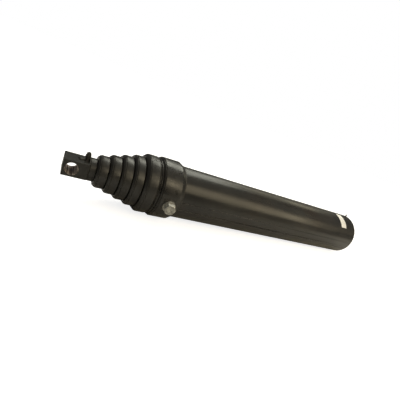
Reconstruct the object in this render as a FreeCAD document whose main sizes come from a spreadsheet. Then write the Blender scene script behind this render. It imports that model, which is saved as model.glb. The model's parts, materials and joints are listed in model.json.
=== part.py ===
# Single-acting telescopic hydraulic cylinder with five moving stages, stored closed.
#
# Frame: X runs along the cylinder from the base pin to the rod end, Y along both pins and
# Z up, with the origin at the centre of the base pin bore. Lengths are in millimetres.
#
# Tube 0 is the barrel, tubes 1 to 4 are the sleeves from the largest to the smallest, and
# tube 5 is the plunger. Tube k slides in tube k - 1. The open end of each of tubes 0 to 4
# carries a packing nut, which holds a bearing, a packing and a wiper for the next tube.
import FreeCAD, Part
import math
import os
import Sketcher

Vector = FreeCAD.Vector
Rotation = FreeCAD.Rotation

PLUNGER = 5
BARREL = 0

DIMENSIONS = [
    # the row of tubes
    ("barrel_od", 219.1),
    ("barrel_bore", 193.7),
    ("plunger_od", 76.2),
    ("plunger_bore", 50.8),
    ("tube_step", 25.4),
    ("sleeve_wall", 7.0),
    ("stroke", 1040.0),
    # places along X, from the barrel's base end
    ("pin_to_end", 52.0),
    ("nest_bottom", 46.0),
    ("nest_step", 6.0),
    ("body_nut_face", 1263.0),
    ("ring_pitch", 41.0),
    # packing nuts
    ("nut_over_tube", 22.0),
    ("nut_wall", 17.0),
    ("nut_bevel", 8.0),
    ("nut_back_bevel", 3.5),
    ("nut_groove_width", 2.5),
    ("nut_groove_depth", 2.5),
    ("nut_nose_drop", 0.8),
    ("rest_gap", 0.3),
    ("spare", 10.0),
    ("body_nut_od", 233.3),
    ("body_nut_length", 53.5),
    ("body_nut_bevel", 11.0),
    ("body_nut_back_bevel", 6.0),
    # seals and guides between one tube and the next
    ("running_gap", 0.1),
    ("nut_gap", 0.4),
    ("gland_depth", 62.0),
    ("packing_length", 30.0),
    ("gland_step", 1.5),
    ("wiper_length", 9.0),
    ("wiper_inset", 3.0),
    ("wiper_depth", 5.0),
    ("wiper_heel_gap", 1.5),
    ("wiper_heel_length", 3.0),
    ("packing_v_depth", 6.0),
    ("guide_length", 30.0),
    ("guide_from_end", 7.0),
    ("lock_width", 4.0),
    ("lock_groove", 2.0),
    ("lock_stand", 3.0),
    ("stop_width", 6.0),
    ("stop_groove", 2.0),
    ("stop_gap", 0.5),
    ("stop_clearance", 1.0),
    # head ring and inlet port
    ("head_ring_od", 244.5),
    ("head_ring_from", 1104.0),
    ("head_ring_length", 103.0),
    ("head_ring_lip", 2.0),
    ("head_ring_back_bevel", 18.0),
    ("head_ring_front_bevel", 15.0),
    ("head_groove_width", 2.5),
    ("head_groove_depth", 3.5),
    ("head_groove_fall", 1.0),
    ("port_from_end", 1152.0),
    ("port_clock", 11.0),
    ("port_radius", 16.6),
    ("port_boss_radius", 26.0),
    ("port_face", 124.5),
    ("seal_radius", 25.0),
    ("seal_thickness", 3.0),
    ("plug_across_flats", 41.0),
    ("plug_head", 23.0),
    ("plug_flange", 4.6),
    ("plug_flange_inset", 1.0),
    ("plug_bevel", 2.5),
    ("plug_crown_inset", 0.5),
    ("plug_shank", 22.0),
    ("plug_lead", 1.5),
    ("plug_dimple", 3.5),
    # base end
    ("base_plug_length", 38.0),
    ("base_plug_recess", 4.0),
    ("pin_radius", 22.45),
    ("lug_width", 88.9),
    ("lug_height", 76.0),
    ("nipple_from_end", 15.0),
    ("nipple_radius", 3.5),
    ("nipple_height", 14.0),
    ("nipple_body_to", 7.0),
    ("nipple_neck_from", 9.1),
    ("nipple_neck_to", 10.5),
    ("nipple_ball_from", 11.9),
    ("nipple_neck_radius", 2.1),
    ("nipple_ball_radius", 3.0),
    ("nipple_tip_radius", 1.75),
    # rod end
    ("neck_radius", 43.0),
    ("neck_length", 25.0),
    ("neck_back_bevel", 2.0),
    ("neck_weld_bevel", 3.0),
    ("block_width", 88.9),
    ("block_height", 60.0),
    ("block_round", 2.5),
    ("pin_to_tip", 30.0),
    ("pin_to_neck", 55.0),
    ("spigot_length", 30.0),
    ("bleeder_from_neck", 9.5),
    ("bleeder_radius", 9.0),
    ("bleeder_height", 9.0),
    ("bleeder_bevel", 1.0),
    ("bleeder_head", 22.0),
    ("bleeder_hexagon", 13.0),
    ("bleeder_dome", 3.5),
    ("bleeder_cap_inset", 0.5),
    ("bleeder_across_flats", 17.0),
    ("bleeder_stem_radius", 4.0),
    ("bleeder_drilling", 2.5),
    # label and nut screws
    ("label_from_end", 78.0),
    ("label_length", 42.0),
    ("label_sweep", 48.0),
    ("label_clock", 37.5),
    ("label_thickness", 0.3),
    ("screw_radius", 3.5),
    ("screw_inset", 0.6),
    ("screw_from_nut_back", 13.0),
    ("screw_clock", 75.0),
]

doc = FreeCAD.newDocument("telescopic_cylinder")
sheet = doc.addObject("Spreadsheet::Sheet", "dims")
finished = []


def fill_sheet():
    for row, (alias, value) in enumerate(DIMENSIONS, start=1):
        sheet.set(f"A{row}", alias)
        sheet.set(f"B{row}", str(value))
        sheet.setAlias(f"B{row}", alias)
    doc.recompute()


# ---- sizes and places as expressions on the sheet ----

def tube_radius(k):
    if k == BARREL:
        return "dims.barrel_od / 2"
    return f"(dims.plunger_od / 2 + {PLUNGER - k} * dims.tube_step / 2)"


def bore_radius(k):
    if k == BARREL:
        return "dims.barrel_bore / 2"
    return f"({tube_radius(k)} - dims.sleeve_wall)"


def nut_radius(k):
    if k == BARREL:
        return "dims.body_nut_od / 2"
    return f"({tube_radius(k)} + dims.nut_over_tube / 2)"


def nut_face(k):
    return f"(dims.pin_to_end + dims.body_nut_face + {k} * dims.ring_pitch)"


def tube_start(k):
    if k == BARREL:
        return "dims.pin_to_end"
    return f"(dims.pin_to_end + dims.nest_bottom + {k - 1} * dims.nest_step)"


def tube_end(k):
    if k == PLUNGER:
        return f"({nut_face(k - 1)} + dims.rest_gap)"
    return f"({nut_face(k)} - dims.nut_wall)"


def guide_front(k):
    return f"({tube_start(k)} + dims.guide_from_end + dims.guide_length)"


def stop_start(k):
    """The stop ring in tube k is met by the guide ring of tube k + 1 at full stroke."""
    return f"({guide_front(k + 1)} + dims.stroke + dims.stop_gap)"


# ---- how a piece is made ----

def outline(sketch, corners):
    """A closed outline whose corners are pairs of expressions, along and across the sketch."""
    count = len(corners)
    # The lines start as a regular polygon, and the constraints then carry every real size.
    turns = [2 * math.pi * i / count for i in range(count)]
    start = [Vector(500 + 100 * math.cos(turn), 300 + 100 * math.sin(turn), 0) for turn in turns]
    for i in range(count):
        sketch.addGeometry(Part.LineSegment(start[i], start[(i + 1) % count]))
    for i in range(count):
        sketch.addConstraint(Sketcher.Constraint("Coincident", i, 2, (i + 1) % count, 1))
    for i, (along, across) in enumerate(corners):
        right = sketch.addConstraint(Sketcher.Constraint("DistanceX", -1, 1, i, 1, start[i].x))
        up = sketch.addConstraint(Sketcher.Constraint("DistanceY", -1, 1, i, 1, start[i].y))
        sketch.setExpression(f"Constraints[{right}]", along)
        sketch.setExpression(f"Constraints[{up}]", across)


def sketch_on(body, role, name):
    sketch = body.newObject("Sketcher::SketchObject", name)
    plane = next(item for item in body.Origin.OriginFeatures if item.Role == role)
    sketch.AttachmentSupport = (plane, "")
    sketch.MapMode = "FlatFace"
    return sketch


def turned(label, corners, start="0"):
    """A solid turned about X from (x, radius) corners, placed so that its x = 0 is at start."""
    body = doc.addObject("PartDesign::Body", label)
    body.Label = label
    sketch = sketch_on(body, "XY_Plane", label + "_profile")
    outline(sketch, corners)
    turn = body.newObject("PartDesign::Revolution", label + "_turn")
    turn.Profile = sketch
    turn.ReferenceAxis = (sketch, ["H_Axis"])
    turn.Angle = 360
    body.setExpression("Placement.Base.x", start)
    return body


def ring(label, length, inner, outer, start):
    corners = [("0", inner), ("0", outer), (length, outer), (length, inner)]
    return turned(label, corners, start)


def rod(label, radius, length, rotation, place=("0", "0", "0")):
    """A round bar whose own Z is turned by rotation and whose foot is at place."""
    bar = doc.addObject("Part::Cylinder", label)
    bar.Label = label
    bar.setExpression("Radius", radius)
    bar.setExpression("Height", length)
    bar.Placement = FreeCAD.Placement(Vector(), rotation)
    for letter, value in zip("xyz", place):
        bar.setExpression(f"Placement.Base.{letter}", value)
    return bar


def hexagon(label, across_flats, length, rotation, place):
    bar = doc.addObject("Part::Prism", label)
    bar.Label = label
    bar.Polygon = 6
    bar.setExpression("Circumradius", f"{across_flats} / sqrt(3)")
    bar.setExpression("Height", length)
    bar.Placement = FreeCAD.Placement(Vector(), rotation)
    for letter, value in zip("xyz", place):
        bar.setExpression(f"Placement.Base.{letter}", value)
    return bar


def block(label, length, width, height, round_radius, start):
    """A rounded bar of width Y and height Z, centred on the X axis."""
    body = doc.addObject("PartDesign::Body", label)
    body.Label = label
    sketch = sketch_on(body, "YZ_Plane", label + "_section")
    half_wide = f"{width} / 2"
    half_high = f"{height} / 2"
    corners = [(f"-({half_wide})", f"-({half_high})"), (half_wide, f"-({half_high})"),
               (half_wide, half_high), (f"-({half_wide})", half_high)]
    outline(sketch, corners)
    pad = body.newObject("PartDesign::Pad", label + "_pad")
    pad.Profile = sketch
    pad.setExpression("Length", length)
    doc.recompute()
    rounded = body.newObject("PartDesign::Fillet", label + "_rounds")
    rounded.Base = (pad, [f"Edge{i + 1}" for i in range(len(pad.Shape.Edges))])
    rounded.setExpression("Radius", round_radius)
    body.Tip = rounded
    body.setExpression("Placement.Base.x", start)
    return body


def joined(label, base, tool, kind="Part::Fuse"):
    result = doc.addObject(kind, label)
    result.Label = label
    result.Base = base
    result.Tool = tool
    return result


def cut(label, base, tool):
    return joined(label, base, tool, "Part::Cut")


def keep(*pieces):
    finished.extend(pieces)


# ---- barrel and its ends ----

ALONG_X = Rotation(Vector(0, 1, 0), 90)
ALONG_Y = Rotation(Vector(1, 0, 0), -90)
UPRIGHT = Rotation()
X_TO_Z = Rotation(Vector(0, 1, 0), -90)


def port_rotation():
    """Turns a rod's own Z to the port's direction, which is clocked down from +Y about X."""
    return Rotation(Vector(1, 0, 0), -90 - sheet.get("port_clock"))


def port_hole(label):
    return rod(label, "dims.port_radius", "dims.port_face + dims.spare", port_rotation(),
               ("dims.pin_to_end + dims.port_from_end", "0", "0"))


def tube_corners(k):
    """The outline of tube k, with its lock ring groove, gland and stop ring groove."""
    outer = tube_radius(k)
    inner = bore_radius(k)
    length = f"{tube_end(k)} - {tube_start(k)}"
    lock_from = "dims.guide_from_end - dims.lock_width"
    gland_from = f"{length} - dims.gland_depth"
    stop_from = f"{stop_start(k)} - {tube_start(k)}"
    stop_to = f"{stop_from} + dims.stop_width"
    corners = [("0", inner), ("0", outer)]
    if k != BARREL:
        corners += [(lock_from, outer), (lock_from, f"{outer} - dims.lock_groove"),
                    ("dims.guide_from_end", f"{outer} - dims.lock_groove"),
                    ("dims.guide_from_end", outer)]
    corners += [(length, outer), (length, f"{inner} + dims.gland_step"),
                (gland_from, f"{inner} + dims.gland_step"), (gland_from, inner),
                (stop_to, inner), (stop_to, f"{inner} + dims.stop_groove"),
                (stop_from, f"{inner} + dims.stop_groove"), (stop_from, inner)]
    return corners


def make_barrel():
    body = turned("barrel_tube_turned", tube_corners(BARREL), tube_start(BARREL))
    keep(cut("barrel_tube", body, port_hole("barrel_port_hole")))


def make_head_ring():
    inner = tube_radius(BARREL)
    outer = "dims.head_ring_od / 2"
    length = "dims.head_ring_length"
    lip = f"{inner} + dims.head_ring_lip"
    corners = [("0", inner), ("0", lip), ("dims.head_ring_back_bevel", outer)]
    # The front bevel carries two turned grooves, one at its start and one half way.
    drop = f"({outer} - {lip}) / 2"
    for part in (0, 1):
        groove_from = f"{length} - dims.head_ring_front_bevel * {1 - part / 2}"
        groove_to = f"{groove_from} + dims.head_groove_width"
        top = f"{outer} - {part} * {drop}"
        foot = f"{top} - dims.head_groove_depth"
        corners += [(groove_from, top), (groove_from, foot), (groove_to, foot),
                    (groove_to, f"{top} - dims.head_groove_fall")]
    corners += [(length, lip), (length, inner)]
    body = turned("head_ring_turned", corners, "dims.pin_to_end + dims.head_ring_from")
    place = ("dims.pin_to_end + dims.port_from_end", "0", "0")
    boss_bar = rod("port_boss_bar", "dims.port_boss_radius", "dims.port_face", port_rotation(), place)
    clear = rod("port_boss_clear", inner, "dims.head_ring_length", ALONG_X,
                ("dims.pin_to_end + dims.head_ring_from", "0", "0"))
    boss = cut("port_boss", boss_bar, clear)
    keep(cut("head_ring", joined("head_ring_blank", body, boss), port_hole("head_port_hole")))


def make_port_plug():
    """The plug is turned and milled about the port's own axis, at its true distances from X."""
    place = ("dims.pin_to_end + dims.port_from_end", "0", "0")
    rotation = port_rotation() * Rotation(Vector(0, 1, 0), -90)
    seat = "dims.port_face + dims.seal_thickness"
    top = f"{seat} + dims.plug_head"
    foot = f"{seat} - dims.plug_shank"
    reach = "dims.plug_across_flats / sqrt(3)"
    crown = "dims.plug_across_flats / 2"
    flange_to = f"{seat} + dims.plug_flange"
    flange_radius = "dims.seal_radius - dims.plug_flange_inset"
    head_corners = [(flange_to, "0"), (flange_to, reach), (f"{top} - dims.plug_bevel", reach),
                    (top, f"{crown} - dims.plug_crown_inset"), (top, "dims.plug_dimple"),
                    (f"{top} - dims.plug_dimple", "0")]
    crown_body = turned("plug_crown", head_corners)
    hexagon_bar = hexagon("plug_hexagon", "dims.plug_across_flats", "dims.plug_head + dims.spare",
                          port_rotation(), place)
    shank_corners = [(foot, "0"), (foot, "dims.port_radius - dims.plug_lead"),
                     (f"{foot} + dims.plug_lead", "dims.port_radius"), (seat, "dims.port_radius"),
                     (seat, flange_radius), (flange_to, flange_radius), (flange_to, "0")]
    shank = turned("plug_shank_body", shank_corners)
    seal_corners = [("dims.port_face", "dims.port_radius"), ("dims.port_face", "dims.seal_radius"),
                    (seat, "dims.seal_radius"), (seat, "dims.port_radius")]
    seal = turned("port_seal", seal_corners)
    for item in (crown_body, shank, seal):
        item.Placement = FreeCAD.Placement(Vector(), rotation)
        item.setExpression("Placement.Base.x", place[0])
    # The hexagon bar starts at the seal's outer face, measured out along the port's axis.
    hexagon_bar.setExpression("Placement.Base.y", f"({seat}) * cos(dims.port_clock)")
    hexagon_bar.setExpression("Placement.Base.z", f"-({seat}) * sin(dims.port_clock)")
    head = joined("plug_head_milled", crown_body, hexagon_bar, "Part::Common")
    keep(joined("port_plug", shank, head), seal)


def make_base():
    ring_face = "dims.pin_to_end + dims.base_plug_recess"
    plug_length = "dims.base_plug_length - dims.base_plug_recess"
    plug_corners = [("0", "0"), ("0", "dims.barrel_bore / 2"), (plug_length, "dims.barrel_bore / 2"),
                    (plug_length, "0")]
    keep(turned("base_plug", plug_corners, ring_face))
    bar = doc.addObject("Part::Box", "lug_bar")
    bar.setExpression("Length", ring_face)
    bar.setExpression("Width", "dims.lug_width")
    bar.setExpression("Height", "dims.lug_height")
    bar.setExpression("Placement.Base.y", "-dims.lug_width / 2")
    bar.setExpression("Placement.Base.z", "-dims.lug_height / 2")
    across = ("0", "-dims.lug_width / 2", "0")
    eye = rod("lug_eye", "dims.lug_height / 2", "dims.lug_width", ALONG_Y, across)
    bore = rod("lug_bore", "dims.pin_radius", "dims.lug_width", ALONG_Y, across)
    keep(cut("base_lug", joined("lug_blank", bar, eye), bore))
    nipple_corners = [("-dims.nipple_radius", "0"), ("-dims.nipple_radius", "dims.nipple_radius"),
                      ("dims.nipple_body_to", "dims.nipple_radius"),
                      ("dims.nipple_neck_from", "dims.nipple_neck_radius"),
                      ("dims.nipple_neck_to", "dims.nipple_neck_radius"),
                      ("dims.nipple_ball_from", "dims.nipple_ball_radius"),
                      ("dims.nipple_height", "dims.nipple_tip_radius"), ("dims.nipple_height", "0")]
    nipple = turned("nipple_turned", nipple_corners)
    nipple.Placement = FreeCAD.Placement(Vector(), X_TO_Z)
    nipple.setExpression("Placement.Base.x", "dims.pin_to_end + dims.nipple_from_end")
    nipple.setExpression("Placement.Base.z", tube_radius(BARREL))
    barrel_bar = rod("nipple_inside", tube_radius(BARREL), "2 * dims.nipple_from_end", ALONG_X,
                     ("dims.pin_to_end", "0", "0"))
    keep(cut("base_nipple", nipple, barrel_bar))


def make_label():
    """A thin strip wrapped round the barrel, clocked from +Y towards +Z."""
    start = ("dims.pin_to_end + dims.label_from_end", "0", "0")
    # A rod along X starts its sweep at -Z, so the turn about X brings that start to the clock angle.
    turn = Rotation(Vector(1, 0, 0), 90 + sheet.get("label_clock")) * ALONG_X
    outer = rod("label_outer", f"{tube_radius(BARREL)} + dims.label_thickness", "dims.label_length",
                turn, start)
    inner = rod("label_inner", tube_radius(BARREL), "dims.label_length", turn, start)
    outer.setExpression("Angle", "dims.label_sweep")
    keep(cut("blank_label", outer, inner))


# ---- packing nuts, glands and tubes ----

def nut_corners(k):
    """The outline of nut k: threaded bore, bevels, a turned line, front wall and wiper groove."""
    outer = nut_radius(k)
    thread = tube_radius(k)
    mouth = f"{tube_radius(k + 1)} + dims.nut_gap"
    if k == BARREL:
        length = "dims.body_nut_length"
        bevel = "dims.body_nut_bevel"
        back = "dims.body_nut_back_bevel"
    else:
        length = "dims.ring_pitch - dims.rest_gap"
        bevel = "dims.nut_bevel"
        back = "dims.nut_back_bevel"
    wiper_to = f"{length} - dims.wiper_inset"
    wiper_from = f"{wiper_to} - dims.wiper_length"
    groove = f"{mouth} + dims.wiper_depth"
    bevel_from = f"{length} - {bevel}"
    line_from = f"{bevel_from} - dims.nut_groove_width"
    line_foot = f"{outer} - dims.nut_groove_depth"
    return [("0", thread), ("0", f"{outer} - {back}"), (back, outer), (line_from, outer),
            (line_from, line_foot), (bevel_from, line_foot),
            (bevel_from, f"{outer} - dims.nut_nose_drop"), (length, f"{outer} - {bevel}"),
            (length, mouth), (wiper_to, mouth), (wiper_to, groove),
            (wiper_from, groove), (wiper_from, mouth), (f"{length} - dims.nut_wall", mouth),
            (f"{length} - dims.nut_wall", thread)]


def nut_start(k):
    if k == BARREL:
        return f"{nut_face(k)} - dims.body_nut_length"
    return f"{nut_face(k - 1)} + dims.rest_gap"


def make_gland(k, name):
    """The bearing, packing, wiper and stop ring that tube k holds for tube k + 1."""
    rubbing = f"{tube_radius(k + 1)} + dims.running_gap"
    seat = f"{bore_radius(k)} + dims.gland_step"
    bearing_length = "dims.gland_depth - dims.packing_length"
    bearing = ring(f"{name}_bearing", bearing_length, rubbing, seat, f"{tube_end(k)} - dims.gland_depth")
    # A packing is a stack of V rings, so its back is a hollow V that opens to the oil.
    middle = f"({rubbing} + {seat}) / 2"
    packing_corners = [("0", rubbing), ("dims.packing_v_depth", middle), ("0", seat),
                       ("dims.packing_length", seat), ("dims.packing_length", rubbing)]
    packing = turned(f"{name}_packing", packing_corners, f"{tube_end(k)} - dims.packing_length")
    groove = f"{tube_radius(k + 1)} + dims.nut_gap + dims.wiper_depth"
    lip = "dims.wiper_length + dims.wiper_inset / 2"
    wiper_corners = [("0", f"{rubbing} + dims.wiper_heel_gap"), ("0", groove), ("dims.wiper_length", groove),
                     ("dims.wiper_length", f"{tube_radius(k + 1)} + dims.nut_gap"),
                     (lip, f"{rubbing} + dims.running_gap"), (lip, rubbing),
                     ("dims.wiper_length - dims.wiper_heel_length", rubbing)]
    wiper_start = f"{nut_face(k)} - dims.wiper_inset - dims.wiper_length"
    wiper = turned(f"{name}_wiper", wiper_corners, wiper_start)
    stop = ring(f"{name}_stop_ring", "dims.stop_width", f"{tube_radius(k + 1)} + dims.stop_clearance",
                f"{bore_radius(k)} + dims.stop_groove", stop_start(k))
    keep(bearing, packing, wiper, stop)


def make_guide(k, name):
    """The guide ring near the foot of tube k, which runs in tube k - 1, and its lock ring."""
    guide = ring(f"{name}_guide_ring", "dims.guide_length", tube_radius(k),
                 f"{bore_radius(k - 1)} - dims.running_gap", f"{tube_start(k)} + dims.guide_from_end")
    lock = ring(f"{name}_lock_ring", "dims.lock_width", f"{tube_radius(k)} - dims.lock_groove",
                f"{tube_radius(k)} + dims.lock_stand",
                f"{tube_start(k)} + dims.guide_from_end - dims.lock_width")
    keep(guide, lock)


def make_body_nut():
    """The barrel's nut has two radial screws that lock its thread, on opposite sides."""
    nut = turned("barrel_nut_turned", nut_corners(BARREL), nut_start(BARREL))
    place = (f"{nut_start(BARREL)} + dims.screw_from_nut_back", "0", "0")
    foot = tube_radius(BARREL)
    length = "dims.body_nut_od / 2"
    screws = []
    holes = nut
    for name, side in (("upper", 0), ("lower", 180)):
        turn = Rotation(Vector(1, 0, 0), sheet.get("screw_clock") - 90 + side)
        hole = rod(f"{name}_screw_hole", "dims.screw_radius", f"{length} + dims.spare", turn, place)
        holes = cut(f"nut_with_{name}_hole", holes, hole)
        bar = rod(f"{name}_screw_bar", "dims.screw_radius", f"{length} - dims.screw_inset", turn, place)
        inside = rod(f"{name}_screw_inside", foot, "dims.body_nut_length", ALONG_X,
                     (nut_start(BARREL), "0", "0"))
        screws.append(cut(f"{name}_screw", bar, inside))
    holes.Label = "barrel_packing_nut"
    group = doc.addObject("Part::Compound", "nut_lock_screws")
    group.Label = "nut_lock_screws"
    group.Links = screws
    keep(holes, group)


def make_sleeves():
    for k in range(1, PLUNGER):
        name = f"sleeve_{k}"
        keep(turned(f"{name}_tube", tube_corners(k), tube_start(k)))
        keep(turned(f"{name}_packing_nut", nut_corners(k), nut_start(k)))
        make_gland(k, name)
        make_guide(k, name)


# ---- plunger and rod end ----

def make_plunger():
    outer = tube_radius(PLUNGER)
    length = f"{tube_end(PLUNGER)} - {tube_start(PLUNGER)}"
    lock_from = "dims.guide_from_end - dims.lock_width"
    corners = [("0", "dims.plunger_bore / 2"), ("0", outer), (lock_from, outer),
               (lock_from, f"{outer} - dims.lock_groove"),
               ("dims.guide_from_end", f"{outer} - dims.lock_groove"),
               ("dims.guide_from_end", outer), (length, outer), (length, "dims.plunger_bore / 2")]
    keep(turned("plunger_tube", corners, tube_start(PLUNGER)))
    keep(ring("plunger_foot", "dims.guide_length", "dims.bleeder_drilling", "dims.plunger_bore / 2",
              tube_start(PLUNGER)))
    make_guide(PLUNGER, "plunger")


def make_rod_end():
    neck_from = tube_end(PLUNGER)
    block_from = f"{neck_from} + dims.neck_length"
    pin_place = f"{block_from} + dims.pin_to_neck"
    bleeder_place = f"{block_from} + dims.bleeder_from_neck"
    bar = block("rod_block_bar", "dims.pin_to_neck + dims.pin_to_tip", "dims.block_width",
                "dims.block_height", "dims.block_round", block_from)
    neck_corners = [("-dims.spigot_length", "0"), ("-dims.spigot_length", "dims.plunger_bore / 2"),
                    ("0", "dims.plunger_bore / 2"), ("0", "dims.neck_radius - dims.neck_back_bevel"),
                    ("dims.neck_back_bevel", "dims.neck_radius"),
                    ("dims.neck_length - dims.neck_weld_bevel", "dims.neck_radius"),
                    ("dims.neck_length", "dims.neck_radius - dims.neck_weld_bevel"),
                    ("dims.neck_length", "0")]
    neck = turned("rod_neck", neck_corners, neck_from)
    blank = joined("rod_end_blank", bar, neck)
    bore = rod("rod_pin_bore", "dims.pin_radius", "dims.block_width", ALONG_Y,
               (pin_place, "-dims.block_width / 2", "0"))
    bored = cut("rod_end_bored", blank, bore)
    down = rod("bleeder_down_drilling", "dims.bleeder_drilling", "dims.block_height", UPRIGHT,
               (bleeder_place, "0", "0"))
    along_length = "dims.neck_length + dims.bleeder_from_neck + dims.spigot_length"
    along = rod("bleeder_cross_drilling", "dims.bleeder_drilling", along_length, ALONG_X,
                (f"{neck_from} - dims.spigot_length", "0", "0"))
    keep(cut("rod_end_block", bored, joined("bleeder_drillings", down, along)))
    make_bleeder(bleeder_place)


def make_bleeder(place):
    """A boss on the block's top face and the screw that opens its air drilling."""
    boss_corners = [("0", "dims.bleeder_stem_radius + dims.running_gap"), ("0", "dims.bleeder_radius"),
                    ("dims.bleeder_height - dims.bleeder_bevel", "dims.bleeder_radius"),
                    ("dims.bleeder_height", "dims.bleeder_radius - dims.bleeder_bevel"),
                    ("dims.bleeder_height", "dims.bleeder_stem_radius + dims.running_gap")]
    boss = turned("bleeder_boss", boss_corners)
    head_from = "dims.bleeder_height + dims.rest_gap"
    head_to = f"{head_from} + dims.bleeder_head"
    hexagon_to = f"{head_from} + dims.bleeder_hexagon"
    reach = "dims.bleeder_across_flats / sqrt(3)"
    cap = "dims.bleeder_across_flats / 2 - dims.bleeder_cap_inset"
    turned_corners = [("dims.bleeder_bevel", "0"), ("dims.bleeder_bevel", "dims.bleeder_stem_radius"),
                      (head_from, "dims.bleeder_stem_radius"),
                      (head_from, f"{reach} - dims.bleeder_bevel"),
                      (f"{head_from} + dims.bleeder_bevel", reach),
                      (f"{hexagon_to} - dims.bleeder_bevel", reach),
                      (hexagon_to, f"{reach} - dims.bleeder_bevel"), (hexagon_to, cap),
                      (f"{head_to} - dims.bleeder_dome", cap),
                      (head_to, f"{cap} - dims.bleeder_dome"), (head_to, "0")]
    turned_screw = turned("bleeder_screw_turned", turned_corners)
    top_face = "dims.block_height / 2"
    milled = hexagon("bleeder_hexagon", "dims.bleeder_across_flats",
                     "dims.bleeder_height + dims.bleeder_head + dims.spare", UPRIGHT, (place, "0", top_face))
    for item in (boss, turned_screw):
        item.Placement = FreeCAD.Placement(Vector(), X_TO_Z)
        item.setExpression("Placement.Base.x", place)
        item.setExpression("Placement.Base.z", top_face)
    keep(boss, joined("bleeder_screw", turned_screw, milled, "Part::Common"))


def check_and_export():
    doc.recompute()
    for item in doc.Objects:
        if "Invalid" in item.State or "Error" in item.State:
            raise RuntimeError(f"{item.Label}: {item.State}")
    os.makedirs("parts", exist_ok=True)
    for piece in finished:
        if piece.Shape.isNull() or not piece.Shape.isValid():
            raise RuntimeError(f"{piece.Label} has no valid shape")
        piece.Shape.exportStep(f"parts/{piece.Label}.step")
    print(len(finished), "sub-parts written")


fill_sheet()
make_barrel()
make_head_ring()
make_port_plug()
make_base()
make_label()
make_body_nut()
make_gland(BARREL, "barrel")
make_sleeves()
make_plunger()
make_rod_end()
check_and_export()
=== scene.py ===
# Looks of the telescopic hydraulic cylinder: black satin paint over turned steel, weld beads, a
# zinc-plated port plug, an air bleeder and a blank label, on a pale floor in soft studio light.
#
# The frame is the CAD's: X along the cylinder, Y along the pins, Z up, in metres.
import json
import math
import random
import bmesh
import bpy
from mathutils import Matrix, Vector


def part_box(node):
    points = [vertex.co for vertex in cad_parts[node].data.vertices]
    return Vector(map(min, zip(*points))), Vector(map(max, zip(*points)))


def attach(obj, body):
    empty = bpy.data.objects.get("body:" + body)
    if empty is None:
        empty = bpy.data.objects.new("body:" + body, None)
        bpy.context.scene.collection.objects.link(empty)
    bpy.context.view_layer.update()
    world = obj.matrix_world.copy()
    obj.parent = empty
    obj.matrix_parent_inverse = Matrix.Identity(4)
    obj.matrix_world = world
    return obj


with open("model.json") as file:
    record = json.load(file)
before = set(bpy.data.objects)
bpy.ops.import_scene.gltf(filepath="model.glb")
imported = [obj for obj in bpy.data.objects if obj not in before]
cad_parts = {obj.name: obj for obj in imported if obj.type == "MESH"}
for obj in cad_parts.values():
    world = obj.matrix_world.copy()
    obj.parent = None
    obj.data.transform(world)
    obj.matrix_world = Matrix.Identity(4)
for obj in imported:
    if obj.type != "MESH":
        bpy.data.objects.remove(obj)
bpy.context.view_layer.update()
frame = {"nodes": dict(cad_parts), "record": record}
nodes = frame["nodes"]

MM = 0.001

# ---- places read from the frame ----

tube_low, tube_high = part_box("barrel_tube")
head_low, head_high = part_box("head_ring")
lug_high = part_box("base_lug")[1]
plug_low, plug_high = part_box("base_plug")
rod_low, rod_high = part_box("rod_end_block")
boss_low, boss_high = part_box("bleeder_boss")
label_low, label_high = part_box("blank_label")
mounts = {mount["name"]: mount for mount in frame["record"]["mounts"]}
port_place = Vector(mounts["inlet_port"]["pos_m"])
port_axis = Vector(mounts["inlet_port"]["axis"])
rod_pin = Vector(mounts["rod_pin_bore"]["pos_m"])

BARREL_RADIUS = (tube_high.z - tube_low.z) / 2
HEAD_RADIUS = (head_high.z - head_low.z) / 2
NECK_RADIUS = (rod_high.z - rod_low.z) / 2
NECK_END = boss_low.x - 0.5 * MM
BLOCK_TOP = boss_low.z
PORT_BOSS_RADIUS = 26 * MM
FLOOR_DROP = 0.5 * MM
FLOOR_SIZE = 60.0
FLOOR_GLOW_FROM = 1.0
FLOOR_GLOW_TO = 3.5
FLOOR_GLOW_NEAR = 0.80
ROOM_STRENGTH = 0.11
LUMP_SEED = 5
LUMP_COUNT = 14


# ---- node helpers ----

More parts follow.
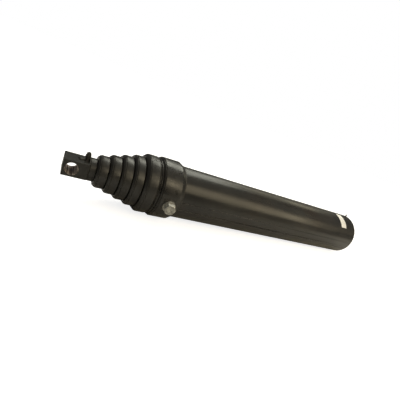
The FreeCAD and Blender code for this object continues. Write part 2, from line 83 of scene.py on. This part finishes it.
class Shade:
    """A small builder for one material's node tree."""

    def __init__(self, name, metallic=0.0, roughness=0.5):
        self.material = bpy.data.materials.new(name)
        self.material.use_nodes = True
        self.tree = self.material.node_tree
        self.shader = self.tree.nodes["Principled BSDF"]
        self.shader.inputs["Metallic"].default_value = metallic
        self.shader.inputs["Roughness"].default_value = roughness
        self.place = self.tree.nodes.new("ShaderNodeTexCoord").outputs["Object"]

    def link(self, source, target):
        self.tree.links.new(source, target)

    def stretch(self, scale):
        mapping = self.tree.nodes.new("ShaderNodeMapping")
        mapping.inputs["Scale"].default_value = scale
        self.link(self.place, mapping.inputs["Vector"])
        return mapping.outputs["Vector"]

    def noise(self, scale, detail=4.0, roughness=0.55, vector=None):
        node = self.tree.nodes.new("ShaderNodeTexNoise")
        node.inputs["Scale"].default_value = scale
        node.inputs["Detail"].default_value = detail
        node.inputs["Roughness"].default_value = roughness
        self.link(vector or self.place, node.inputs["Vector"])
        return node.outputs["Fac"]

    def voronoi(self, scale, vector=None):
        node = self.tree.nodes.new("ShaderNodeTexVoronoi")
        node.inputs["Scale"].default_value = scale
        self.link(vector or self.place, node.inputs["Vector"])
        return node.outputs["Distance"]

    def remap(self, value, low, high, out_low=0.0, out_high=1.0):
        node = self.tree.nodes.new("ShaderNodeMapRange")
        node.inputs["From Min"].default_value = low
        node.inputs["From Max"].default_value = high
        node.inputs["To Min"].default_value = out_low
        node.inputs["To Max"].default_value = out_high
        self.link(value, node.inputs["Value"])
        return node.outputs["Result"]

    def math(self, kind, first, second):
        node = self.tree.nodes.new("ShaderNodeMath")
        node.operation = kind
        for socket, value in zip(node.inputs, (first, second)):
            if isinstance(value, (int, float)):
                socket.default_value = value
            else:
                self.link(value, socket)
        return node.outputs["Value"]

    def coordinate(self, letter):
        node = self.tree.nodes.new("ShaderNodeSeparateXYZ")
        self.link(self.place, node.inputs["Vector"])
        return node.outputs[letter]

    def mix(self, amount, first, second):
        node = self.tree.nodes.new("ShaderNodeMix")
        node.data_type = "RGBA"
        self.link(amount, node.inputs["Factor"])
        for socket, value in ((node.inputs["A"], first), (node.inputs["B"], second)):
            if isinstance(value, tuple):
                socket.default_value = (*value, 1.0)
            else:
                self.link(value, socket)
        return node.outputs["Result"]

    def worn_edge(self, radius):
        """About 1 on sharp outer edges and 0 elsewhere, from the rounded normal's turn."""
        bevel = self.tree.nodes.new("ShaderNodeBevel")
        bevel.inputs["Radius"].default_value = radius
        bevel.samples = 4
        geometry = self.tree.nodes.new("ShaderNodeNewGeometry")
        dot = self.tree.nodes.new("ShaderNodeVectorMath")
        dot.operation = "DOT_PRODUCT"
        self.link(bevel.outputs["Normal"], dot.inputs[0])
        self.link(geometry.outputs["True Normal"], dot.inputs[1])
        return self.remap(dot.outputs["Value"], 0.985, 0.80)

    def blotches(self, scale):
        """Soft cloudy patches between 0 and 1."""
        return self.remap(self.noise(scale, 5.0), 0.35, 0.68)

    def rubbed_edge(self, radius, grit_scale, low=0.42, high=0.62):
        """Edges where the paint has gone, broken up by grit."""
        grit = self.remap(self.noise(grit_scale, 2.0), low, high)
        return self.math("MULTIPLY", self.worn_edge(radius), grit)

    def bump(self, height, strength, distance):
        node = self.tree.nodes.new("ShaderNodeBump")
        node.inputs["Strength"].default_value = strength
        node.inputs["Distance"].default_value = distance
        self.link(height, node.inputs["Height"])
        self.link(node.outputs["Normal"], self.shader.inputs["Normal"])

    def colour(self, value):
        self.link(value, self.shader.inputs["Base Color"])

    def rough(self, value):
        self.link(value, self.shader.inputs["Roughness"])


# ---- materials ----

# Base colours, as linear red, green and blue.
PAINT_DARK = (0.0095, 0.0090, 0.0072)
PAINT_LIGHT = (0.0200, 0.0188, 0.0150)
PAINT_DUST = (0.048, 0.043, 0.033)
STEEL_WORN = (0.105, 0.098, 0.085)
OIL_BROWN = (0.020, 0.0125, 0.0060)
BORE_GROOVE = (0.070, 0.045, 0.032)
BORE_CREST = (0.72, 0.64, 0.56)
BORE_RUST = (0.110, 0.055, 0.030)
HONED_CLEAN = (0.42, 0.42, 0.42)
HONED_OILED = (0.30, 0.285, 0.26)
HONED_CREST = (0.46, 0.46, 0.45)
ZINC_DARK = (0.22, 0.215, 0.19)
ZINC_LIGHT = (0.50, 0.49, 0.44)
ZINC_RUBBED = (0.86, 0.84, 0.77)
ZINC_PIT = (0.09, 0.08, 0.065)
RUBBER_BLACK = (0.012, 0.012, 0.012)
RUBBER_BLOOM = (0.035, 0.034, 0.031)
WELD_DARK = (0.009, 0.0085, 0.007)
WELD_LIGHT = (0.034, 0.031, 0.025)
LABEL_PAPER = (0.80, 0.80, 0.77)
LABEL_GRIME = (0.52, 0.50, 0.45)
LABEL_INK = (0.22, 0.22, 0.23)
FLOOR_DARKER = (0.62, 0.61, 0.59)
FLOOR_LIGHTER = (0.67, 0.66, 0.64)

BORE_MARGIN = 0.4 * MM
LABEL_BARS = 6.0
LABEL_TOP_MARGIN = 5 * MM


def black_paint(name, gloss=0.27, dust=0.40, warm=0.6):
    """Sprayed black enamel: cloudy tone, orange peel, dust, oil smears and edges rubbed bare."""
    shade = Shade(name)
    cloud = shade.blotches(7.0)
    streak = shade.noise(14.0, 5.0, 0.6, shade.stretch((0.18, 1.6, 1.6)))
    tone = shade.mix(cloud, PAINT_DARK, PAINT_LIGHT)
    dusty = shade.math("MULTIPLY", shade.remap(streak, 0.50, 0.78), dust)
    toned = shade.mix(dusty, tone, PAINT_DUST)
    oily = shade.math("MULTIPLY", shade.remap(shade.noise(4.2, 3.0), 0.52, 0.72), warm)
    stained = shade.mix(oily, toned, OIL_BROWN)
    edge = shade.rubbed_edge(1.2 * MM, 260.0)
    shade.colour(shade.mix(edge, stained, STEEL_WORN))
    smooth = shade.remap(streak, 0.30, 0.75, gloss, gloss + 0.20)
    shade.rough(shade.math("SUBTRACT", smooth, shade.math("MULTIPLY", oily, 0.10)))
    waves = shade.math("MULTIPLY", shade.noise(60.0, 3.0), 2.0)
    peel = shade.math("ADD", shade.noise(420.0, 3.0), waves)
    shade.bump(peel, 0.35, 0.10 * MM)
    shade.shader.inputs["Specular IOR Level"].default_value = 0.50
    return shade.material


def turned_paint(name, gloss=0.28):
    """Paint over lathe-turned rings: fine rings of tool marks show through it."""
    shade = Shade(name)
    cloud = shade.blotches(11.0)
    tone = shade.mix(cloud, PAINT_DARK, PAINT_LIGHT)
    dusty = shade.math("MULTIPLY", shade.remap(shade.noise(24.0, 6.0, 0.65), 0.48, 0.75), 0.45)
    toned = shade.mix(dusty, tone, PAINT_DUST)
    edge = shade.rubbed_edge(1.4 * MM, 300.0, 0.38, 0.60)
    shade.colour(shade.mix(edge, toned, STEEL_WORN))
    shade.rough(shade.remap(shade.noise(30.0, 4.0), 0.30, 0.72, gloss, gloss + 0.22))
    marks = shade.noise(150.0, 2.0, 0.5, shade.stretch((9.0, 0.12, 0.12)))
    shade.bump(shade.math("ADD", marks, shade.noise(380.0, 2.0)), 0.40, 0.12 * MM)
    shade.shader.inputs["Specular IOR Level"].default_value = 0.50
    return shade.material


def bored_paint(name, pin, bore_radius):
    """Paint outside, and bare brown-stained steel on the wall of the cross bore."""
    shade = Shade(name)
    along = shade.math("SUBTRACT", shade.coordinate("X"), pin.x)
    away = shade.math("SUBTRACT", shade.coordinate("Z"), pin.z)
    along_squared = shade.math("MULTIPLY", along, along)
    away_squared = shade.math("MULTIPLY", away, away)
    squares = shade.math("ADD", along_squared, away_squared)
    inside = shade.math("LESS_THAN", squares, (bore_radius + BORE_MARGIN) ** 2)
    cloud = shade.blotches(16.0)
    tone = shade.mix(cloud, PAINT_DARK, PAINT_LIGHT)
    edge = shade.rubbed_edge(1.2 * MM, 280.0)
    painted = shade.mix(edge, tone, STEEL_WORN)
    # Pins slid in and out along the bore, so its wall is scored lengthwise along Y.
    score = shade.noise(150.0, 3.0, 0.6, shade.stretch((1.0, 0.05, 1.0)))
    steel = shade.mix(shade.remap(score, 0.42, 0.60), BORE_GROOVE, BORE_CREST)
    rust = shade.remap(shade.noise(55.0, 6.0), 0.50, 0.64)
    wall = shade.mix(rust, steel, BORE_RUST)
    shade.colour(shade.mix(inside, painted, wall))
    shade.link(shade.math("MULTIPLY", inside, 0.35), shade.shader.inputs["Metallic"])
    shade.rough(shade.remap(shade.noise(30.0, 4.0), 0.3, 0.7, 0.34, 0.55))
    shade.bump(shade.math("ADD", score, shade.noise(380.0, 3.0)), 0.35, 0.12 * MM)
    return shade.material


def honed_steel(name):
    """The sleeves' sliding surface: honed round, with a thin oil film and a few dull bands."""
    shade = Shade(name, 1.0, 0.25)
    rings = shade.noise(60.0, 2.0, 0.5, shade.stretch((7.0, 0.12, 0.12)))
    film = shade.remap(shade.noise(5.0, 4.0), 0.40, 0.65)
    tone = shade.mix(film, HONED_CLEAN, HONED_OILED)
    shade.colour(shade.mix(shade.remap(rings, 0.50, 0.80), tone, HONED_CREST))
    shade.rough(shade.remap(rings, 0.3, 0.7, 0.26, 0.33))
    shade.bump(rings, 0.10, 0.02 * MM)
    return shade.material


def zinc_plate(name):
    """Dull, slightly yellow zinc plate with cast pitting and darker handling marks."""
    shade = Shade(name, 0.75, 0.42)
    blotch = shade.remap(shade.noise(90.0, 5.0, 0.6), 0.36, 0.66)
    tone = shade.mix(blotch, ZINC_DARK, ZINC_LIGHT)
    pit = shade.remap(shade.voronoi(260.0), 0.10, 0.02)
    edge = shade.worn_edge(1.0 * MM)
    shade.colour(shade.mix(pit, shade.mix(edge, tone, ZINC_RUBBED), ZINC_PIT))
    shade.rough(shade.remap(blotch, 0.0, 1.0, 0.34, 0.52))
    shade.bump(shade.math("ADD", shade.noise(420.0, 3.0), shade.noise(70.0, 3.0)), 0.45, 0.25 * MM)
    return shade.material


def plain_metal(name, dark, light, roughness):
    shade = Shade(name, 1.0, roughness)
    blotch = shade.blotches(60.0)
    shade.colour(shade.mix(blotch, dark, light))
    shade.rough(shade.remap(blotch, 0.0, 1.0, roughness, roughness + 0.18))
    shade.bump(shade.noise(360.0, 3.0), 0.30, 0.08 * MM)
    return shade.material


def seal_rubber(name):
    shade = Shade(name, 0.0, 0.55)
    bloom = shade.remap(shade.noise(45.0, 5.0), 0.40, 0.70)
    shade.colour(shade.mix(bloom, RUBBER_BLACK, RUBBER_BLOOM))
    shade.rough(shade.remap(bloom, 0.0, 1.0, 0.40, 0.65))
    shade.bump(shade.noise(500.0, 2.0), 0.25, 0.06 * MM)
    return shade.material


def weld_metal(name):
    """Painted weld: black paint that sits in the bead's ripples, with the crests rubbed grey."""
    shade = Shade(name)
    soot = shade.blotches(120.0)
    tone = shade.mix(soot, WELD_DARK, WELD_LIGHT)
    shade.colour(shade.mix(shade.worn_edge(0.6 * MM), tone, STEEL_WORN))
    shade.rough(shade.remap(soot, 0.0, 1.0, 0.34, 0.58))
    shade.bump(shade.noise(340.0, 4.0), 0.55, 0.2 * MM)
    return shade.material


def label_film(name):
    """Blank white film with faint grey ruled bars and a little grime: no lettering."""
    shade = Shade(name, 0.0, 0.48)
    across = shade.remap(shade.coordinate("X"), label_low.x, label_high.x)
    row = shade.math("FRACT", shade.math("MULTIPLY", across, LABEL_BARS), 0.0)
    bar = shade.math("LESS_THAN", row, 0.30)
    height = shade.coordinate("Z")
    gaps = shade.noise(70.0, 1.0, 0.5, shade.stretch((0.01, 1.0, 1.0)))
    broken = shade.math("GREATER_THAN", gaps, 0.47)
    inner = shade.math("LESS_THAN", height, label_high.z - LABEL_TOP_MARGIN)
    faint = shade.math("MULTIPLY", inner, 0.45)
    ink = shade.math("MULTIPLY", shade.math("MULTIPLY", bar, broken), faint)
    grime = shade.remap(shade.noise(38.0, 5.0), 0.45, 0.75, 0.0, 0.5)
    paper = shade.mix(grime, LABEL_PAPER, LABEL_GRIME)
    shade.colour(shade.mix(ink, paper, LABEL_INK))
    shade.bump(shade.noise(150.0, 3.0), 0.25, 0.15 * MM)
    return shade.material


PAINT = black_paint("black_paint")
TURNED = turned_paint("turned_paint")
GLOSSY = turned_paint("glossy_turned_paint", 0.20)
ROD_END = bored_paint("rod_end_paint", rod_pin, mounts["rod_pin_bore"]["dims"]["r_mm"] * MM)
LUG = bored_paint("lug_paint", Vector(), mounts["base_pin_bore"]["dims"]["r_mm"] * MM)
HONED = honed_steel("honed_steel")
ZINC = zinc_plate("zinc_plate")
BARE = plain_metal("bare_steel", (0.22, 0.21, 0.19), (0.40, 0.39, 0.37), 0.35)
SPRING = plain_metal("spring_steel", (0.08, 0.08, 0.085), (0.20, 0.20, 0.21), 0.30)
BRONZE = plain_metal("bearing_bronze", (0.36, 0.22, 0.09), (0.60, 0.40, 0.18), 0.32)
RUBBER = seal_rubber("seal_rubber")
WELD = weld_metal("painted_weld")
LABEL = label_film("label_film")


# ---- the CAD nodes ----

def finish_of(name):
    if name == "barrel_tube" or name == "base_plug":
        return PAINT
    if name == "rod_end_block":
        return ROD_END
    if name == "base_lug":
        return LUG
    if name == "head_ring":
        return GLOSSY
    if name.endswith("packing_nut") or name == "bleeder_boss" or name == "bleeder_screw":
        return TURNED
    if name in ("port_plug", "port_seal"):
        return ZINC
    if name.endswith(("packing", "wiper")):
        return RUBBER
    if name.endswith(("bearing", "guide_ring")):
        return BRONZE
    if name.endswith(("stop_ring", "lock_ring", "screws")) or name == "base_nipple":
        return SPRING
    if name == "blank_label":
        return LABEL
    if name.endswith("_tube"):
        return HONED
    return BARE


# The width of each rounded edge, in millimetres.
ROUNDED_NODES = {
    "head_ring": 1.6, "barrel_packing_nut": 1.4, "barrel_tube": 1.2, "base_lug": 1.5,
    "port_plug": 0.8, "port_seal": 0.5, "bleeder_boss": 0.8, "bleeder_screw": 0.7,
}
for number in range(1, 5):
    ROUNDED_NODES[f"sleeve_{number}_packing_nut"] = 1.2


def dress_nodes():
    """Every CAD node gets its material, smooth shading and, where it shows, rounded edges."""
    for name, item in nodes.items():
        item.data.materials.clear()
        item.data.materials.append(finish_of(name))
        for face in item.data.polygons:
            face.use_smooth = True
        if name in ROUNDED_NODES:
            weld = item.modifiers.new("join", "WELD")
            weld.merge_threshold = 0.002 * MM
            rounding = item.modifiers.new("rounding", "BEVEL")
            rounding.width = ROUNDED_NODES[name] * MM
            rounding.segments = 3
            rounding.limit_method = "ANGLE"
            rounding.angle_limit = math.radians(24)
            rounding.harden_normals = True
            rounding.use_clamp_overlap = True


# ---- weld beads and other details ----

def add_mesh(name, bm, material, body):
    mesh = bpy.data.meshes.new(name)
    bm.normal_update()
    bm.to_mesh(mesh)
    bm.free()
    for face in mesh.polygons:
        face.use_smooth = True
    mesh.materials.append(material)
    piece = bpy.data.objects.new(name, mesh)
    bpy.context.scene.collection.objects.link(piece)
    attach(piece, body)
    return piece


BEAD_SAMPLES = 200
RIPPLE_STEPS = 6
BEAD_SIDES = 10
BEAD_LIFT = 0.75
BEAD_LEAN = 0.35
RIPPLE_SWELL = 0.16


def hand_wobble(turn):
    """How much the bead's width drifts along its path, as a share of its radius."""
    return 0.05 * math.sin(turn * 41.0) + 0.04 * math.sin(turn * 97.0)


def bead(name, path, outward, radius, body, pitch=3.2 * MM):
    """A weld bead along a closed path: a tube whose section swells at each ripple.

    path and outward are functions of a turn from 0 to 1, giving a point and the way the bead bulges.
    """
    samples = [path(i / BEAD_SAMPLES) for i in range(BEAD_SAMPLES + 1)]
    length = sum((there - here).length for here, there in zip(samples, samples[1:]))
    ripples = max(8, round(length / pitch))
    steps = ripples * RIPPLE_STEPS
    bm = bmesh.new()
    loops = []
    for i in range(steps):
        turn = i / steps
        point = path(turn)
        ahead = (path((turn + 0.5 / steps) % 1.0) - path((turn - 0.5 / steps) % 1.0)).normalized()
        out = outward(turn).normalized()
        side = ahead.cross(out).normalized()
        phase = (i % RIPPLE_STEPS) / RIPPLE_STEPS
        swell = 1.0 + RIPPLE_SWELL * (1.0 - phase) ** 2 + hand_wobble(turn)
        loop = []
        for j in range(BEAD_SIDES):
            angle = 2 * math.pi * j / BEAD_SIDES
            # The bead trails back from its crest, as a weld pool freezes.
            lean = ahead * (BEAD_LEAN * radius * math.sin(angle) ** 2)
            rise = out * (math.cos(angle) * radius * BEAD_LIFT * swell)
            spread = side * (math.sin(angle) * radius * swell)
            loop.append(bm.verts.new(point + rise + spread - lean))
        loops.append(loop)
    for i in range(steps):
        here, there = loops[i], loops[(i + 1) % steps]
        for j in range(BEAD_SIDES):
            after = (j + 1) % BEAD_SIDES
            bm.faces.new((here[j], there[j], there[after], here[after]))
    return add_mesh(name, bm, WELD, body)


def weld_lumps(name, centre, reach, radius, body):
    """Overlapping lumps where a weld was built up, half sunk in the face they lie on."""
    chance = random.Random(LUMP_SEED)
    bm = bmesh.new()
    for _ in range(LUMP_COUNT):
        size = radius * chance.uniform(0.6, 1.15)
        shift = Vector((chance.uniform(-reach[0], reach[0]), chance.uniform(-reach[1], reach[1]), 0))
        flattened = Matrix.Diagonal((1.3 * size, size, 0.75 * size, 1.0))
        lump = Matrix.Translation(centre + shift) @ flattened
        bmesh.ops.create_icosphere(bm, subdivisions=3, radius=1.0, matrix=lump)
    return add_mesh(name, bm, WELD, body)


def round_path(centre, axis, radius):
    """A circle about an axis, as the two functions that bead takes."""
    axis = axis.normalized()
    first = axis.orthogonal().normalized()
    second = axis.cross(first)

    def direction(turn):
        angle = 2 * math.pi * turn
        return first * math.cos(angle) + second * math.sin(angle)

    return (lambda turn: centre + direction(turn) * radius), direction


def saddle_path(x, axis, tube_radius, boss_radius):
    """Where a round boss meets a tube along X, as the two functions that bead takes."""
    along = Vector((1, 0, 0))
    across = along.cross(axis)

    def direction(turn):
        angle = 2 * math.pi * turn
        return along * math.cos(angle) + across * math.sin(angle)

    def point(turn):
        flat = direction(turn) * boss_radius
        height = math.sqrt(tube_radius ** 2 - flat.dot(across) ** 2)
        return along * x + flat + axis * height

    return point, direction


def box_path(x, half_wide, half_high, corner):
    """A rounded rectangle in the plane of constant X, as the two functions that bead takes."""
    runs = [2 * (half_wide - corner), 2 * (half_high - corner)] * 2
    arc = math.pi * corner / 2
    total = sum(runs) + 4 * arc

    def spot(turn):
        left = (turn % 1.0) * total
        for side, run in enumerate(runs):
            angle = side * math.pi / 2
            out = Vector((0, math.sin(angle), math.cos(angle)))
            along = Vector((0, math.cos(angle), -math.sin(angle)))
            reach = (half_high, half_wide)[side % 2]
            if left <= run:
                return out * reach + along * (left - run / 2), out
            left -= run
            if left <= arc:
                bend = left / corner
                way = out * math.cos(bend) + along * math.sin(bend)
                return out * (reach - corner) + along * (run / 2) + way * corner, way
            left -= arc
        return out * reach, out

    return (lambda turn: Vector((x, 0, 0)) + spot(turn)[0]), (lambda turn: spot(turn)[1])


def make_welds():
    along = Vector((1, 0, 0))
    tilt = Vector((-0.6, 0, 0))

    def leaning(direction, lean):
        return lambda turn: direction(turn) + lean

    path, out = round_path(Vector((head_low.x - 0.6 * MM, 0, 0)), along, BARREL_RADIUS + 0.6 * MM)
    bead("head_ring_weld", path, leaning(out, tilt), 2.6 * MM, "barrel", 3.6 * MM)
    path, out = round_path(Vector((plug_low.x, 0, 0)), along, plug_high.z - 2.0 * MM)
    bead("base_plug_weld", path, leaning(out, Vector((-1.5, 0, 0))), 3.2 * MM, "barrel", 4.0 * MM)
    path, out = box_path(plug_low.x - 0.3 * MM, lug_high.y + 1.0 * MM, lug_high.z + 1.0 * MM, 3 * MM)
    bead("base_lug_weld", path, leaning(out, tilt), 3.6 * MM, "barrel", 4.2 * MM)
    path, out = round_path(Vector((NECK_END + 0.5 * MM, 0, 0)), along, NECK_RADIUS - 3.0 * MM)
    bead("neck_weld", path, leaning(out, Vector((0.7, 0, 0))), 2.2 * MM, "plunger", 3.2 * MM)
    boss_centre = Vector(((boss_low.x + boss_high.x) / 2, 0, BLOCK_TOP + 0.3 * MM))
    boss_radius = (boss_high.x - boss_low.x) / 2
    path, out = round_path(boss_centre, Vector((0, 0, 1)), boss_radius + 0.8 * MM)
    bead("bleeder_weld", path, leaning(out, Vector((0, 0, 0.6))), 2.4 * MM, "plunger", 3.0 * MM)
    build_up = Vector((boss_high.x + 8 * MM, 0, BLOCK_TOP))
    weld_lumps("bleeder_weld_lumps", build_up, (8 * MM, 10 * MM), 5.2 * MM, "plunger")
    path, out = saddle_path(port_place.x, port_axis, HEAD_RADIUS, PORT_BOSS_RADIUS)
    bead("port_weld", path, leaning(out, port_axis), 2.0 * MM, "barrel", 3.2 * MM)


# ---- floor, light and camera ----

def make_floor():
    """A plain pale floor that fades to white far off. The head ring and the barrel's end rest on it.

    The white glow is only seen directly: it lights nothing, and the paint does not mirror it.
    """
    bpy.ops.mesh.primitive_plane_add(size=FLOOR_SIZE)
    floor = bpy.context.object
    floor.name = "studio_floor"
    drop = HEAD_RADIUS - BARREL_RADIUS
    run = (head_low.x + head_high.x) / 2 - tube_low.x
    floor.rotation_euler = (0.0, math.atan2(drop, run), 0.0)
    floor.location = Vector((tube_low.x, 0, -BARREL_RADIUS - FLOOR_DROP))
    shade = Shade("studio_floor_paint", 0.0, 0.85)
    shade.colour(shade.mix(shade.noise(0.8, 2.0), FLOOR_DARKER, FLOOR_LIGHTER))
    far = shade.tree.nodes.new("ShaderNodeVectorMath")
    far.operation = "LENGTH"
    shade.link(shade.place, far.inputs[0])
    shade.shader.inputs["Emission Color"].default_value = (1.0, 1.0, 1.0, 1.0)
    glow = shade.remap(far.outputs["Value"], FLOOR_GLOW_FROM, FLOOR_GLOW_TO, FLOOR_GLOW_NEAR, 1.0)
    seen = shade.tree.nodes.new("ShaderNodeLightPath").outputs["Is Camera Ray"]
    shade.link(shade.math("MULTIPLY", glow, seen), shade.shader.inputs["Emission Strength"])
    floor.data.materials.append(shade.material)


def area_light(name, place, size, radiance, tint=(1.0, 1.0, 1.0), reflected=True):
    """A soft box that lies along X and faces the cylinder, with the radiance of its face given."""
    light = bpy.data.lights.new(name, "AREA")
    light.shape = "RECTANGLE"
    light.size, light.size_y = size
    light.energy = radiance * math.pi * size[0] * size[1]
    light.color = tint
    lamp = bpy.data.objects.new(name, light)
    lamp.location = place
    lamp.rotation_mode = "QUATERNION"
    lamp.rotation_quaternion = Vector((0, -place[1], -place[2])).to_track_quat("-Z", "Y")
    lamp.visible_glossy = reflected
    bpy.context.scene.collection.objects.link(lamp)


def make_lights():
    area_light("overhead", (0.5, 0.0, 2.4), (3.2, 2.4), 1.0, reflected=False)
    area_light("ceiling", (-0.8, 0.62, 2.05), (4.4, 1.5), 0.29, (1.0, 0.92, 0.74))
    area_light("far_window", (0.65, -1.05, 1.85), (1.7, 1.0), 4.9, (1.0, 0.99, 0.85))
    area_light("far_window_end", (-1.45, -1.45, 1.58), (2.5, 0.8), 1.05, (1.0, 0.93, 0.66))
    area_light("near_strip", (-0.75, 1.68, 1.35), (4.1, 0.9), 3.6, (1.0, 0.85, 0.58))
    world = bpy.data.worlds.new("studio")
    world.use_nodes = True
    tree = world.node_tree
    seen = tree.nodes.new("ShaderNodeLightPath").outputs["Is Camera Ray"]
    strength = tree.nodes.new("ShaderNodeMapRange")
    strength.inputs["To Min"].default_value = ROOM_STRENGTH
    strength.inputs["To Max"].default_value = 1.0
    tree.links.new(seen, strength.inputs["Value"])
    tree.nodes["Background"].inputs["Color"].default_value = (1.0, 1.0, 1.0, 1.0)
    tree.links.new(strength.outputs["Result"], tree.nodes["Background"].inputs["Strength"])
    bpy.context.scene.world = world


VIEW_POINT = Vector((1.0195, 0.0, -0.0129))
VIEW_DISTANCE = 1.2813
VIEW_AZIMUTH = math.radians(149.9)
VIEW_ELEVATION = math.radians(18.03)
VIEW_ROLL = math.radians(24.24)
LENS_MM = 25.87


def make_camera():
    """A wide lens close to the rod end, looking back down the barrel and rolled to one side."""
    data = bpy.data.cameras.new("camera")
    data.lens = LENS_MM
    data.sensor_width = 36.0
    camera = bpy.data.objects.new("camera", data)
    back = Vector((math.sin(VIEW_AZIMUTH) * math.cos(VIEW_ELEVATION),
                   -math.cos(VIEW_AZIMUTH) * math.cos(VIEW_ELEVATION), math.sin(VIEW_ELEVATION)))
    camera.location = VIEW_POINT + back * VIEW_DISTANCE
    level = (-back).to_track_quat("-Z", "Y").to_matrix()
    camera.rotation_euler = (level @ Matrix.Rotation(VIEW_ROLL, 3, "Z")).to_euler()
    bpy.context.scene.collection.objects.link(camera)
    bpy.context.scene.camera = camera


dress_nodes()
make_welds()
make_floor()
make_lights()
make_camera()
bpy.context.scene.view_settings.view_transform = "Standard"
